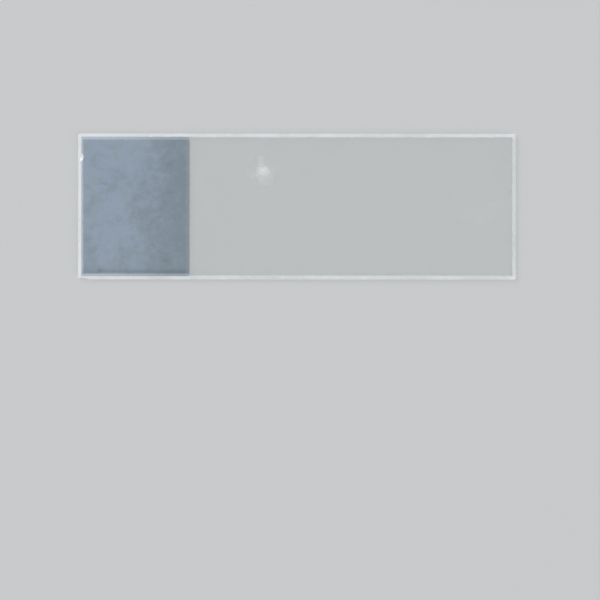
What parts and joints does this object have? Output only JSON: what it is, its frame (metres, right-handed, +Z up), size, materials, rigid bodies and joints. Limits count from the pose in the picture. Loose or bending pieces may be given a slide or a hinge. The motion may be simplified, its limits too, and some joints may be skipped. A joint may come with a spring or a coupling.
{
  "type": "microscope slide",
  "caption": "Thin rectangular glass slide with ground, bevelled edges and a frosted marking area across one end of its upper face.",
  "frame": {"origin": "middle of the underside", "axes": "+X along the slide, away from the frosted end; +Y across the slide; +Z up through the thickness, out of the face that carries the frosting"},
  "size_m": [0.0762, 0.0254, 0.0011],
  "materials": {
    "slide_glass": "polished clear soda-lime glass, matt ground edges, matt blue-grey frosting over one end of the upper face"
  },
  "bodies": {
    "root": {"glass_slide": "slide_glass"}
  },
  "joints": []
}
